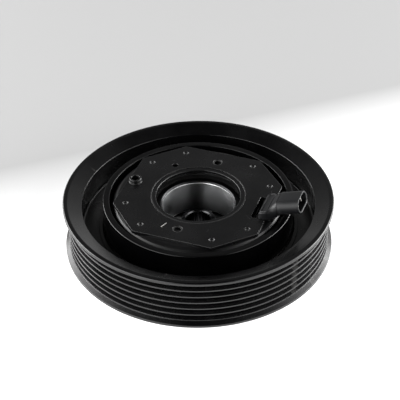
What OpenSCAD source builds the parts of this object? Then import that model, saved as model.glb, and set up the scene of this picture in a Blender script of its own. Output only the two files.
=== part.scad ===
// Electromagnetic clutch for a belt-driven compressor.
// The clutch lies on the front flange of its pulley, coil side up, with its axis on Z.
// The coil connector points along +X.

/* [Pulley] */
// Outer radius of both belt flanges
pulley_r = 66.4; // [64:0.1:70]
// Width of the rim over both flanges
rim_w = 27.2; // [26.5:0.1:29]
// Number of V grooves in the belt track
groove_n = 6; // [4:1:6]
// Distance from one groove to the next
groove_pitch = 3.56; // [3.4:0.01:3.7]
// Depth of a groove
groove_depth = 3.0; // [2.4:0.1:3.2]
// Radius of the groove crests
crest_r = 64.3; // [63.9:0.1:64.6]
// Radius of the rim's inner wall
rim_inner_r = 57.8; // [56.5:0.1:58.6]
// Front face of the web that joins rim and rotor
web_z = 6.6; // [6.5:0.1:7.5]
// Thickness of the web
web_t = 4.0; // [3:0.1:5]
// Drop of the conical rear face from its outer to its inner edge
dish_drop = 3.1; // [1:0.1:4]

/* [Rotor] */
// Outer radius of the rotor
rotor_r = 46.8; // [46.4:0.1:47.5]
// Thickness of the rotor's outer pole wall
pole_t = 3.2; // [2.8:0.1:3.3]
// Rear end of the outer pole wall
rotor_top_z = 26.6; // [25.5:0.1:27]
// Height of the friction face
face_z = 6.5; // [6.4:0.1:7]
// Thickness of the disc behind the friction face
disc_t = 5.0; // [4:0.1:5.4]
// Width of the slots that part the magnetic poles
slot_w = 2.0; // [1.4:0.1:2.4]
// Number of slots in each ring
slot_n = 3; // [3:1:6]

/* [Bearing] */
// Bore radius of the inner ring
bearing_bore_r = 17.5; // [17:0.1:17.8]
// Outer radius of the outer ring
bearing_outer_r = 27.5; // [27:0.1:27.8]
// Width of the double-row bearing
bearing_w = 18; // [17.6:0.1:18.2]
// Front face of the bearing
bearing_z = 4.6; // [4.5:0.1:4.7]
// Radius of a ball
ball_r = 2.7; // [2.4:0.05:2.75]
// Balls in one row
ball_n = 20; // [12:1:21]
// Distance of each row from the middle of the bearing
row_dz = 3.9; // [3.8:0.1:4]

/* [Field coil] */
// Outer radius of the coil shell
shell_r = 42.6; // [41.8:0.1:42.8]
// Inner radius of the coil shell
shell_inner_r = 31.4; // [31.1:0.1:31.8]
// Thickness of the shell's walls and base
shell_t = 2.0; // [1.6:0.1:2.2]
// Radius of the shell's rounded shoulder
shoulder_r = 3.8; // [1:0.1:4]
// Gap between the coil shell and the rotor disc
coil_gap = 1.0; // [0.6:0.1:1.5]

/* [Mounting plate] */
// Rear face of the mounting plate
plate_z = 27.7; // [27.2:0.1:28.2]
// Thickness of the mounting plate
plate_t = 1.8; // [1.4:0.1:2]
// Distance from the axis to the four flats that face X and Y
flat_square = 37; // [36.4:0.1:38]
// Distance from the axis to the four flats that face the diagonals
flat_diagonal = 40.2; // [39:0.1:41]
// Radius of the pilot bore
pilot_r = 20.7; // [20:0.1:21.5]
// Distance from the axis to each of the two fixing holes
fixing_y = 28.8; // [27.5:0.1:29.5]
// Radius of the fixing holes
fixing_r = 1.7; // [1.4:0.1:2]
// Distance from the axis to the locating bush
bush_x = 33.1; // [32:0.1:34]
// Outer radius of the locating bush
bush_r = 3.0; // [2.6:0.1:3.2]
// Height of the locating bush above the plate
bush_h = 2.4; // [1.8:0.1:3]
// Radius of the circle of rivets that hold the plate to the shell
rivet_circle_r = 36; // [35.5:0.1:37]

/* [Connector] */
// Width of the oval barrel
barrel_w = 13.4; // [12.4:0.1:14]
// Height of the oval barrel
barrel_h = 7.3; // [7:0.1:7.6]
// Length of the barrel beyond the elbow
barrel_len = 11.4; // [9:0.1:12]
// Upward tilt of the barrel
barrel_tilt = 18; // [16:1:20]
// Distance from the axis to the joint of elbow and barrel
seam_x = 42; // [41.5:0.1:42.5]
// Height of the barrel's axis at that joint
seam_z = 32.7; // [32.4:0.1:33]
// Width of the elbow
elbow_w = 16.6; // [15:0.1:16.8]

/* [Hub and armature] */
// Air gap between armature and friction face at rest
air_gap = 0.5; // [0.4:0.05:0.6]
// Outer radius of the armature
armature_r = 45.6; // [44.5:0.1:46.2]
// Inner radius of the armature
armature_inner_r = 30.5; // [30.2:0.1:31]
// Front face of the armature and the hub flange
front_z = 1.9; // [1.8:0.1:2.1]
// Thickness of the hub flange
flange_t = 2.0; // [1.6:0.1:2.1]
// Outer radius of the hub flange
flange_r = 26; // [25.5:0.1:26.8]
// Rear end of the splined boss
boss_top_z = 12.6; // [11:0.1:13.5]
// Outer radius of the splined boss
boss_r = 8.6; // [8.2:0.1:9.2]
// Radius at the roots of the spline
spline_r = 6.6; // [6.2:0.1:6.8]
// Number of spline teeth
spline_n = 24; // [18:1:28]
// Thickness of a leaf spring
leaf_t = 0.5; // [0.4:0.05:0.6]
// Width of a leaf spring
leaf_w = 11; // [9:0.5:12]
// Radius at which the leaf springs are riveted to the hub
hub_rivet_r = 20.5; // [20:0.1:21]
// Radius at which the leaf springs are riveted to the armature
armature_rivet_r = 38; // [37.5:0.1:38.5]
// Angle from a spring's hub rivet to its armature rivet
leaf_sweep = 55; // [50:1:60]

/* [Hidden] */
$fn = 120;
// Overlap that makes a cutter pass right through a face
cut = 1;

// Pulley
crest_w = 0.75;                  // flat on top of each crest
flank_angle = 20;                // half of the angle of a groove
flank_run = groove_depth * tan(flank_angle);
flange_rise_w = 1.3;             // width of the cone that guides the belt
flange_round = 0.8;              // rounding of the flange edges
face_inner_r = rim_inner_r - 0.6;
web_fillet = 1.4;
weld_leg = 0.9;                  // fillet weld between web and rotor
web_top_z = web_z + web_t;
belt_mid_z = rim_w / 2;
belt_half_w = groove_n * groove_pitch / 2;
front_wall_r = 58.2;             // inner wall of the rim in front of the web
front_chamfer = 1.6;

// Rotor
pole_r = rotor_r - pole_t;
tube_r = 30.6;                   // outside of the tube around the bearing
tube_top_z = bearing_z + bearing_w + 2.0;
nose_r = 29.6;                   // front end of the tube
nose_z = 3.9;
nose_lip_r = 26.4;               // lip that the bearing is pushed against
disc_top_z = face_z + disc_t;
inner_slot_r = 33.4;
outer_slot_r = 41.2;
slot_gap = 16;                   // angle of the bridge between two slots
slot_relief = 0.2;               // how much the holes at a slot's ends stand out beyond its sides
lining_inner_r = 35.6;
lining_outer_r = 38.8;
lining_t = 1.5;
edge = 0.3;                      // small chamfer on turned edges

// Bearing
bearing_mid_z = bearing_z + bearing_w / 2;
bearing_top_z = bearing_z + bearing_w;
row_r = (bearing_bore_r + bearing_outer_r) / 2;
groove_play = 0.1;
inner_land_r = 20.9;
outer_land_r = 24.1;
bore_chamfer = 0.9;
outer_chamfer = 0.6;
seal_seat_r = 25.7;
seal_t = 1.0;
seal_inset = 0.4;
seal_lip_r = inner_land_r + 0.3;
seal_seat_t = seal_t + seal_inset;
cage_half_w = 3.3;
cage_inner_r = 21.5;
cage_outer_r = 23.5;
pocket_r = ball_r + 0.12;
ring_t = 1.2;                    // snap ring
ring_inner_r = 25.9;
ring_seat_r = 28.5;
ring_z = bearing_top_z + 0.1;
ring_gap = 34;                   // opening angle of the snap ring

// Field coil
plate_under_z = plate_z - plate_t;
shell_top_z = plate_under_z;
shell_base_z = shell_top_z - shell_t;
shell_bottom_z = disc_top_z + coil_gap;
channel_inner_r = shell_inner_r + shell_t;
channel_outer_r = shell_r - shell_t;
resin_t = 0.6;
bobbin_z = shell_bottom_z + resin_t + 0.2;
bobbin_top_z = shell_base_z;
bobbin_t = 0.8;
bobbin_inner_r = channel_inner_r + 0.1;
bobbin_outer_r = channel_outer_r - 0.1;
winding_inner_r = bobbin_inner_r + bobbin_t;
winding_outer_r = bobbin_outer_r - 0.7;
winding_z = bobbin_z + bobbin_t;
winding_top_z = bobbin_top_z - bobbin_t;

// Mounting plate
coined_r = 23.1;                 // edge of the coined ring around the pilot bore
coined_depth = 0.25;
sink_r = fixing_r + 0.6;         // countersink of the fixing holes
sink_depth = 0.35;
gauge_hole_r = 1.5;
gauge_circle_r = 27.4;
gauge_angle = 135;
notch_x = 29.7;
notch_w = 17.2;
rivet_r = 1.5;
rivet_depth = 1.0;
rivet_edge = 0.15;               // groove around each flush rivet
rivet_first = 30;                // rivets sit 30 degrees either side of X and Y
bush_hole_r = 2.0;
bush_foot_r = bush_r + 0.35;     // shoulder of the bush, let into the plate
bush_foot_h = 0.5;
bush_foot_sink = 0.3;

// Connector
wall = 1.0;
socket_depth = 8.6;
elbow_x = 33.2;
window_x = 32.4;                 // window in the shell's base, below the elbow
window_len = 7.6;
window_w = 13;
stem_w = 7.4;
stem_x = 35.4;
stem_len = 4.6;
lead_x = 38.1;
lead_y = 2.5;
lead_r = 0.8;
lead_top_z = 31.85;
pin_h = 2.4;
pin_t = 0.8;
pin_tail = 3.2;
pin_recess = 1.6;

// Hub and armature
armature_top_z = face_z - air_gap;
flange_top_z = front_z + flange_t;
collar_r = 11;
collar_z = 0.8;
bolt_hole_r = 3.3;
bolt_wall_z = 3.2;
spline_tooth = 0.85;
spline_chamfer = 0.5;
puller_r = 1.6;
puller_circle_r = 15.6;
scallop_r = 17;
scallop_circle_r = 38;
leaf_first = 90;                 // angle of the first hub rivet
arm_count = 3;
rivet_head_r = 3.2;
rivet_shank_r = 2.0;
rivet_head_t = 0.9;
leaf_z = front_z - leaf_t;
rivet_sink = 0.6;                // how far the armature rivets end below its rear face
flux_slot_w = 2.4;
flux_slot_span = 58;

// Points of an arc, for the outline of a turned part
function arc(x, y, r, from, to, steps = 6) =
    [for (i = [0 : steps])
        let (a = from + (to - from) * i / steps)
        [x + r * cos(a), y + r * sin(a)]];

// A plain ring with true cylindrical walls
module tube(r_in, r_out, z_low, z_high) {
    difference() {
        translate([0, 0, z_low])
            cylinder(r = r_out, h = z_high - z_low);
        translate([0, 0, z_low - cut])
            cylinder(r = r_in, h = z_high - z_low + 2 * cut);
    }
}

// A round pin between two heights
module pin(r, z_low, z_high) {
    translate([0, 0, z_low])
        cylinder(r = r, h = z_high - z_low, $fn = 48);
}

// Copies of a child, evenly spaced around the axis, each at radius r
module around(n, r, first = 0) {
    for (i = [0 : n - 1])
        rotate([0, 0, first + i * 360 / n])
            translate([r, 0, 0])
                children();
}

// A slot of width w that follows an arc about the axis and ends in slightly wider round holes
module arc_slot(r, w, from, to, z_low, z_high) {
    rotate([0, 0, from])
        rotate_extrude(angle = to - from)
            translate([r - w / 2, z_low])
                square([w, z_high - z_low]);
    for (a = [from, to])
        rotate([0, 0, a])
            translate([r, 0, 0])
                pin(w / 2 + slot_relief, z_low, z_high);
}

// A bar with round ends from the origin to a point on X
module round_bar(len, w, z_low, z_high) {
    translate([0, -w / 2, z_low])
        cube([len, w, z_high - z_low]);
    for (x = [0, len])
        translate([x, 0, z_low])
            cylinder(r = w / 2, h = z_high - z_low);
}

// Places a child in the frame of the connector's barrel: Z along the barrel, Y across
module on_barrel() {
    translate([seam_x, 0, seam_z])
        rotate([0, 90 - barrel_tilt, 0])
            children();
}

// The oval section of the barrel
module oval(w, h, z_low, z_high) {
    translate([0, 0, z_low]) {
        translate([-h / 2, -(w - h) / 2, 0])
            cube([h, w - h, z_high - z_low]);
        for (side = [-1, 1])
            translate([0, side * (w - h) / 2, 0])
                cylinder(r = h / 2, h = z_high - z_low, $fn = 64);
    }
}

// ---------- Field coil ----------

// Deep-drawn steel channel around the coil, open towards the rotor disc
module coil_shell() {
    outline = concat(
        [[channel_outer_r, shell_bottom_z], [shell_r, shell_bottom_z]],
        arc(shell_r - shoulder_r, shell_top_z - shoulder_r, shoulder_r, 0, 90),
        arc(shell_inner_r + 1, shell_top_z - 1, 1, 90, 180, 4),
        [[shell_inner_r, shell_bottom_z], [channel_inner_r, shell_bottom_z],
         [channel_inner_r, shell_base_z], [channel_outer_r, shell_base_z]]);
    color([0.07, 0.07, 0.075])
        difference() {
            rotate_extrude()
                polygon(outline);
            plate_rivet_holes();
            translate([window_x, -window_w / 2, shell_base_z - cut])
                cube([window_len, window_w, shell_t + 2 * cut]);
        }
}

// Octagonal steel plate that carries the coil on the compressor
module mounting_plate() {
    color([0.08, 0.08, 0.085])
        difference() {
            intersection() {
                translate([-flat_square, -flat_square, plate_under_z])
                    cube([2 * flat_square, 2 * flat_square, plate_t]);
                rotate([0, 0, 45])
                    translate([-flat_diagonal, -flat_diagonal, plate_under_z - cut])
                        cube([2 * flat_diagonal, 2 * flat_diagonal, plate_t + 2 * cut]);
            }
            translate([0, 0, plate_under_z - cut])
                cylinder(r = pilot_r, h = plate_t + 2 * cut);
            translate([0, 0, plate_z - coined_depth])
                cylinder(r = coined_r, h = cut);
            around(2, fixing_y, 90) {
                pin(fixing_r, plate_under_z - cut, plate_z + cut);
                translate([0, 0, plate_z - sink_depth])
                    cylinder(r1 = fixing_r, r2 = sink_r, h = sink_depth, $fn = 48);
            }
            around(1, gauge_circle_r, gauge_angle)
                pin(gauge_hole_r, plate_under_z - cut, plate_z + cut);
            translate([-bush_x, 0, 0]) {
                pin(bush_r, plate_under_z - cut, plate_z);
                pin(bush_foot_r, plate_z - bush_foot_sink, plate_z + cut);
            }
            translate([notch_x, -notch_w / 2, plate_under_z - cut])
                cube([flat_square, notch_w, plate_t + 2 * cut]);
            plate_rivet_holes();
        }
}

// Holes of the eight flush rivets in the plate and the shell
module plate_rivet_holes() {
    for (side = [-1, 1])
        around(4, rivet_circle_r, side * rivet_first)
            pin(rivet_r, shell_top_z - rivet_depth, plate_z + cut);
}

// Flush rivets that hold the plate to the coil shell, each with a bevelled edge
module plate_rivets() {
    color([0.10, 0.10, 0.105])
        for (side = [-1, 1])
            around(4, rivet_circle_r, side * rivet_first) {
                pin(rivet_r, shell_top_z - rivet_depth, plate_z - rivet_edge);
                translate([0, 0, plate_z - rivet_edge])
                    cylinder(r1 = rivet_r, r2 = rivet_r - rivet_edge, h = rivet_edge, $fn = 48);
            }
}

// Hollow bush that stops the coil turning on the compressor
module locating_bush() {
    color([0.09, 0.09, 0.095])
        translate([-bush_x, 0, 0])
            difference() {
                union() {
                    pin(bush_r, plate_under_z, plate_z + bush_h - edge);
                    translate([0, 0, plate_z + bush_h - edge])
                        cylinder(r1 = bush_r, r2 = bush_r - edge, h = edge, $fn = 48);
                    pin(bush_foot_r, plate_z - bush_foot_sink, plate_z + bush_foot_h);
                }
                pin(bush_hole_r, plate_under_z - cut, plate_z + bush_h + cut);
            }
}

// Spool that the coil is wound on
module coil_bobbin() {
    color([0.16, 0.15, 0.14])
        difference() {
            union() {
                tube(bobbin_inner_r, bobbin_outer_r, bobbin_z, winding_z);
                tube(bobbin_inner_r, winding_inner_r, bobbin_z, bobbin_top_z);
                tube(bobbin_inner_r, bobbin_outer_r, winding_top_z, bobbin_top_z);
            }
            lead_holes();
        }
}

// Copper winding
module coil_winding() {
    color([0.72, 0.38, 0.18])
        tube(winding_inner_r, winding_outer_r, winding_z, winding_top_z);
}

// Resin that closes the mouth of the coil shell
module potting_resin() {
    color([0.05, 0.05, 0.05])
        tube(channel_inner_r, channel_outer_r, shell_bottom_z, shell_bottom_z + resin_t);
}

// Passages for the two leads
module lead_holes() {
    for (side = [-1, 1])
        translate([lead_x, side * lead_y, 0])
            pin(lead_r, winding_top_z - cut, lead_top_z);
}

// Insulated leads from the winding to the terminals
module coil_leads() {
    color([0.55, 0.12, 0.10])
        for (side = [-1, 1])
            translate([lead_x, side * lead_y, 0])
                pin(lead_r, winding_top_z, lead_top_z);
}

// ---------- Connector ----------

// Moulded elbow that brings the leads out through the plate's notch
module connector_elbow() {
    up = barrel_h / 2;
    outline = [
        [elbow_x + 0.8, shell_top_z],
        [seam_x - 1.6, shell_top_z],
        [seam_x - 0.2, shell_top_z + 1.0],
        [seam_x + up * sin(barrel_tilt), seam_z - up * cos(barrel_tilt)],
        [seam_x - up * sin(barrel_tilt), seam_z + up * cos(barrel_tilt)],
        [elbow_x + 5.2, shell_top_z + 7.0],
        [elbow_x + 3.4, shell_top_z + 5.8],
        [elbow_x + 0.7, shell_top_z + 4.9],
        [elbow_x, shell_top_z + 4.2],
        [elbow_x, shell_top_z + 1.4]];
    color([0.14, 0.145, 0.15])
        difference() {
            union() {
                intersection() {
                    translate([0, elbow_w / 2, 0])
                        rotate([90, 0, 0])
                            linear_extrude(elbow_w)
                                polygon(outline);
                    elbow_plan();
                }
                translate([stem_x, -stem_w / 2, shell_base_z])
                    cube([stem_len, stem_w, shell_t]);
            }
            lead_holes();
            terminal_blades();
        }
}

// Outline of the elbow from above: a wide block that narrows to the barrel
module elbow_plan() {
    half = elbow_w / 2;
    neck = barrel_w / 2;
    translate([0, 0, shell_top_z - cut])
        linear_extrude(20)
            polygon([
                [elbow_x - cut, -half + 1.6], [elbow_x + 0.6, -half],
                [elbow_x + 4.2, -half], [elbow_x + 7.0, -neck],
                [seam_x + 4, -neck], [seam_x + 4, neck],
                [elbow_x + 7.0, neck], [elbow_x + 4.2, half],
                [elbow_x + 0.6, half], [elbow_x - cut, half - 1.6]]);
}

// Oval socket that takes the plug
module connector_barrel() {
    color([0.15, 0.155, 0.16])
        difference() {
            on_barrel()
                oval(barrel_w, barrel_h, 0, barrel_len);
            on_barrel()
                oval(barrel_w - 2 * wall, barrel_h - 2 * wall, barrel_len - socket_depth, barrel_len + cut);
            terminal_blades();
        }
}

// The two upright blades, also cut from the parts that hold them
module terminal_blades() {
    on_barrel()
        for (side = [-1, 1])
            translate([-pin_h / 2, side * lead_y - pin_t / 2, -pin_tail])
                cube([pin_h, pin_t, pin_tail + barrel_len - pin_recess]);
}

// Terminals of the coil
module terminal_pins() {
    color([0.75, 0.75, 0.72])
        terminal_blades();
}

// ---------- Bearing ----------

// The two ball tracks
module ball_tracks() {
    for (side = [-1, 1])
        translate([0, 0, bearing_mid_z + side * row_dz])
            rotate_extrude()
                translate([row_r, 0])
                    circle(r = ball_r + groove_play, $fn = 48);
}

// Inner ring, which sits on the nose of the compressor
module bearing_inner_ring() {
    outline = [
        [bearing_bore_r, bearing_z + outer_chamfer],
        [bearing_bore_r + outer_chamfer, bearing_z],
        [inner_land_r - edge, bearing_z],
        [inner_land_r, bearing_z + edge],
        [inner_land_r, bearing_top_z - edge],
        [inner_land_r - edge, bearing_top_z],
        [bearing_bore_r + bore_chamfer, bearing_top_z],
        [bearing_bore_r, bearing_top_z - bore_chamfer]];
    color([0.78, 0.79, 0.80])
        difference() {
            rotate_extrude()
                polygon(outline);
            ball_tracks();
        }
}

// Outer ring, pressed into the rotor
module bearing_outer_ring() {
    outline = [
        [seal_seat_r, bearing_z],
        [bearing_outer_r - outer_chamfer, bearing_z],
        [bearing_outer_r, bearing_z + outer_chamfer],
        [bearing_outer_r, bearing_top_z - outer_chamfer],
        [bearing_outer_r - outer_chamfer, bearing_top_z],
        [seal_seat_r, bearing_top_z],
        [seal_seat_r, bearing_top_z - seal_seat_t],
        [outer_land_r, bearing_top_z - seal_seat_t],
        [outer_land_r, bearing_z + seal_seat_t],
        [seal_seat_r, bearing_z + seal_seat_t]];
    color([0.74, 0.75, 0.76])
        difference() {
            rotate_extrude()
                polygon(outline);
            ball_tracks();
        }
}

// Balls of one row, or the slightly larger pockets that hold them
module row_of_balls(side) {
    around(ball_n, row_r, side * 90 / ball_n)
        translate([0, 0, bearing_mid_z + side * row_dz])
            sphere(r = ball_r, $fn = 32);
}

// Both rows of balls
module bearing_balls() {
    color([0.85, 0.86, 0.87])
        for (side = [-1, 1])
            row_of_balls(side);
}

// Cage that spaces the balls of one row
module cage(side) {
    mid_z = bearing_mid_z + side * row_dz;
    difference() {
        tube(cage_inner_r, cage_outer_r, mid_z - cage_half_w, mid_z + cage_half_w);
        around(ball_n, row_r, side * 90 / ball_n)
            translate([-row_r / 4, 0, mid_z])
                rotate([0, 90, 0])
                    cylinder(r = pocket_r, h = row_r / 2, $fn = 32);
    }
}

// Cage of the front row
module front_cage() {
    color([0.80, 0.74, 0.60])
        cage(-1);
}

// Cage of the rear row
module rear_cage() {
    color([0.80, 0.74, 0.60])
        cage(1);
}

// Rubber seal of the front row
module front_seal() {
    color([0.12, 0.08, 0.06])
        tube(seal_lip_r, seal_seat_r, bearing_z + seal_inset, bearing_z + seal_seat_t);
}

// Rubber seal of the rear row
module rear_seal() {
    color([0.12, 0.08, 0.06])
        tube(seal_lip_r, seal_seat_r, bearing_top_z - seal_seat_t, bearing_top_z - seal_inset);
}

// Open ring that keeps the bearing in the rotor, with an eye at each end
module bearing_snap_ring() {
    eye_r = 1.7;
    eye_at = ring_inner_r - 0.2;
    color([0.20, 0.20, 0.21])
        difference() {
            union() {
                rotate([0, 0, ring_gap / 2])
                    rotate_extrude(angle = 360 - ring_gap)
                        translate([ring_inner_r, ring_z])
                            square([ring_seat_r - 0.1 - ring_inner_r, ring_t]);
                for (side = [-1, 1])
                    rotate([0, 0, side * (ring_gap / 2 + 3)])
                        translate([eye_at, 0, 0])
                            pin(eye_r, ring_z, ring_z + ring_t);
            }
            for (side = [-1, 1])
                rotate([0, 0, side * (ring_gap / 2 + 3)])
                    translate([eye_at, 0, 0])
                        pin(0.8, ring_z - cut, ring_z + ring_t + cut);
        }
}

// ---------- Pulley and rotor ----------

// Outline of the grooved belt track, from the front flange to the rear one
function track_points() = [
    for (i = [0 : groove_n - 1])
        let (z = belt_mid_z - belt_half_w + i * groove_pitch)
        each [
            [crest_r, z + crest_w / 2],
            [crest_r - groove_depth, z + crest_w / 2 + flank_run],
            [crest_r - groove_depth, z + groove_pitch - crest_w / 2 - flank_run],
            [crest_r, z + groove_pitch - crest_w / 2]]];

// Grooved rim
module pulley_rim() {
    track_low_z = belt_mid_z - belt_half_w;
    track_high_z = belt_mid_z + belt_half_w;
    flange_r = pulley_r - flange_round;
    outline = concat(
        [[front_wall_r, front_chamfer], [front_wall_r + front_chamfer, 0]],
        arc(flange_r, flange_round, flange_round, -90, 0),
        [[pulley_r, track_low_z - flange_rise_w], [crest_r, track_low_z]],
        track_points(),
        [[crest_r, track_high_z], [pulley_r, track_high_z + flange_rise_w]],
        arc(flange_r, rim_w - flange_round, flange_round, 0, 90),
        arc(pulley_r - 2.2, rim_w - flange_round, flange_round, 90, 90 + atan(dish_drop / 7), 3),
        arc(face_inner_r + 0.3, rim_w - dish_drop - 0.3, 0.3, 100, 180, 3),
        [[rim_inner_r - 0.1, rim_w - dish_drop - 5],
         [rim_inner_r, web_top_z + web_fillet], [front_wall_r, web_top_z + web_fillet]]);
    color([0.07, 0.07, 0.075])
        rotate_extrude()
            polygon(outline);
}

// Disc that carries the rim on the rotor, with rounded corners against the rim
module pulley_web() {
    outline = concat(
        [[rotor_r, web_z]],
        arc(front_wall_r - web_fillet, web_z - web_fillet, web_fillet, 90, 0),
        [[front_wall_r, web_top_z + web_fillet]],
        arc(rim_inner_r - web_fillet, web_top_z + web_fillet, web_fillet, 0, -90),
        [[rotor_r + weld_leg, web_top_z], [rotor_r, web_top_z + weld_leg]]);
    color([0.07, 0.07, 0.075])
        rotate_extrude()
            polygon(outline);
}

// Outer pole wall of the rotor, which stands around the coil
module rotor_wall() {
    outline = [
        [pole_r, disc_top_z],
        [rotor_r, disc_top_z],
        [rotor_r, rotor_top_z - edge],
        [rotor_r - edge, rotor_top_z],
        [pole_r + edge, rotor_top_z],
        [pole_r, rotor_top_z - edge]];
    color([0.08, 0.08, 0.085])
        rotate_extrude()
            polygon(outline);
}

// Iron disc of the rotor, with slots that part its poles and a recess for the lining
module rotor_disc() {
    outline = [
        [tube_r, face_z],
        [rotor_r - edge, face_z],
        [rotor_r, face_z + edge],
        [rotor_r, disc_top_z],
        [tube_r, disc_top_z]];
    color([0.08, 0.08, 0.085])
        difference() {
            rotate_extrude()
                polygon(outline);
            for (r = [inner_slot_r, outer_slot_r], i = [0 : slot_n - 1])
                arc_slot(r, slot_w, slot_angle(r, i), slot_angle(r, i) + 360 / slot_n - slot_gap,
                         face_z - cut, disc_top_z + cut);
            tube(lining_inner_r, lining_outer_r, face_z - cut, face_z + lining_t);
        }
}

// Tube of the rotor that holds the bearing, with a lip in front and a groove for the snap ring
module bearing_seat() {
    groove_low_z = ring_z - 0.05;
    groove_high_z = ring_z + ring_t + 0.05;
    outline = [
        [nose_lip_r, nose_z],
        [nose_r - edge, nose_z],
        [nose_r, nose_z + edge],
        [nose_r, face_z],
        [tube_r, face_z],
        [tube_r, tube_top_z - edge],
        [tube_r - edge, tube_top_z],
        [bearing_outer_r, tube_top_z],
        [bearing_outer_r, groove_high_z],
        [ring_seat_r, groove_high_z],
        [ring_seat_r, groove_low_z],
        [bearing_outer_r, groove_low_z],
        [bearing_outer_r, bearing_z],
        [nose_lip_r, bearing_z]];
    color([0.08, 0.08, 0.085])
        rotate_extrude()
            polygon(outline);
}

// Start of slot i; the slots of the outer ring lie across the bridges of the inner one
function slot_angle(r, i) = i * 360 / slot_n + (r == outer_slot_r ? 180 / slot_n : 0);

// Friction lining set into the rotor's face
module friction_ring() {
    color([0.20, 0.17, 0.14])
        tube(lining_inner_r, lining_outer_r, face_z, face_z + lining_t);
}

// ---------- Hub and armature ----------

// Splined boss that drives the compressor shaft
module hub_sleeve() {
    color([0.45, 0.45, 0.46])
        difference() {
            union() {
                pin(boss_r, collar_z, boss_top_z - edge);
                translate([0, 0, boss_top_z - edge])
                    cylinder(r1 = boss_r, r2 = boss_r - edge, h = edge);
                pin(collar_r, collar_z, front_z);
            }
            pin(bolt_hole_r, collar_z - cut, bolt_wall_z + cut);
            difference() {
                pin(spline_r, bolt_wall_z, boss_top_z + cut);
                for (i = [0 : spline_n - 1])
                    rotate([0, 0, i * 360 / spline_n])
                        spline_tooth();
            }
            translate([0, 0, boss_top_z - spline_chamfer])
                cylinder(r1 = spline_r, r2 = spline_r + spline_chamfer, h = spline_chamfer);
        }
}

// One tooth of the spline, pointing inwards
module spline_tooth() {
    root = PI * spline_r / spline_n * 0.62;
    tip = root * 0.45;
    translate([0, 0, bolt_wall_z - cut])
        linear_extrude(boss_top_z - spline_chamfer - bolt_wall_z + cut)
            polygon([
                [spline_r - spline_tooth, -tip], [spline_r + 0.4, -root],
                [spline_r + 0.4, root], [spline_r - spline_tooth, tip]]);
}

// Three-armed flange that carries the leaf springs
module hub_flange() {
    color([0.09, 0.09, 0.095])
        difference() {
            translate([0, 0, front_z])
                cylinder(r = flange_r, h = flange_t);
            pin(boss_r, front_z - cut, flange_top_z + cut);
            around(arm_count, scallop_circle_r, leaf_first + 60)
                translate([0, 0, front_z - cut])
                    cylinder(r = scallop_r, h = flange_t + 2 * cut);
            around(arm_count, puller_circle_r, leaf_first + 60)
                pin(puller_r, front_z - cut, flange_top_z + cut);
            around(arm_count, hub_rivet_r, leaf_first)
                pin(rivet_shank_r, front_z - cut, flange_top_z + cut);
        }
}

// Straight leaf springs, each from an arm of the hub to the armature
module leaf_springs() {
    far = [armature_rivet_r * cos(leaf_sweep), armature_rivet_r * sin(leaf_sweep)];
    run = far - [hub_rivet_r, 0];
    len = norm(run);
    color([0.55, 0.56, 0.58])
        around(arm_count, hub_rivet_r, leaf_first)
            rotate([0, 0, atan2(run[1], run[0])])
                difference() {
                    round_bar(len, leaf_w, leaf_z, front_z);
                    for (x = [0, len])
                        translate([x, 0, 0])
                            pin(rivet_shank_r, leaf_z - cut, front_z + cut);
                }
}

// A rivet with a low domed head in front of the leaf spring
module rivet(end_z) {
    dome = 0.4;
    pin(rivet_shank_r, leaf_z, end_z);
    pin(rivet_head_r, leaf_z - rivet_head_t + dome, leaf_z);
    translate([0, 0, leaf_z - rivet_head_t])
        cylinder(r1 = rivet_head_r - dome, r2 = rivet_head_r, h = dome, $fn = 48);
}

// Rivets that hold the springs to the hub
module hub_rivets() {
    color([0.50, 0.50, 0.51])
        around(arm_count, hub_rivet_r, leaf_first)
            rivet(flange_top_z);
}

// Rivets that hold the springs to the armature
module armature_rivets() {
    color([0.50, 0.50, 0.51])
        around(arm_count, armature_rivet_r, leaf_first + leaf_sweep)
            rivet(armature_top_z - rivet_sink);
}

// Flat iron ring that the coil pulls against the rotor
module armature_plate() {
    slot_first = leaf_first + leaf_sweep + 60 - flux_slot_span / 2;
    outline = [
        [armature_inner_r, front_z],
        [armature_r - edge, front_z],
        [armature_r, front_z + edge],
        [armature_r, armature_top_z - edge],
        [armature_r - edge, armature_top_z],
        [armature_inner_r, armature_top_z]];
    color([0.11, 0.11, 0.115])
        difference() {
            rotate_extrude()
                polygon(outline);
            for (i = [0 : arm_count - 1])
                let (a = slot_first + i * 360 / arm_count)
                arc_slot(armature_rivet_r, flux_slot_w, a, a + flux_slot_span,
                         front_z - cut, armature_top_z + cut);
            around(arm_count, armature_rivet_r, leaf_first + leaf_sweep)
                pin(rivet_shank_r, front_z - cut, armature_top_z + cut);
        }
}

coil_shell();
mounting_plate();
plate_rivets();
locating_bush();
coil_bobbin();
coil_winding();
potting_resin();
coil_leads();
connector_elbow();
connector_barrel();
terminal_pins();
bearing_inner_ring();
bearing_outer_ring();
bearing_balls();
front_cage();
rear_cage();
front_seal();
rear_seal();
bearing_snap_ring();
pulley_rim();
pulley_web();
rotor_wall();
rotor_disc();
bearing_seat();
friction_ring();
hub_sleeve();
hub_flange();
leaf_springs();
hub_rivets();
armature_plate();
armature_rivets();
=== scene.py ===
"""Electromagnetic clutch of a compressor, lying on the front flange of its pulley."""
import random
from math import acos, asin, atan2, cos, hypot, pi, radians, sin, sqrt, tan, tau

import bmesh
import bpy
from mathutils import Matrix, Vector


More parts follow.
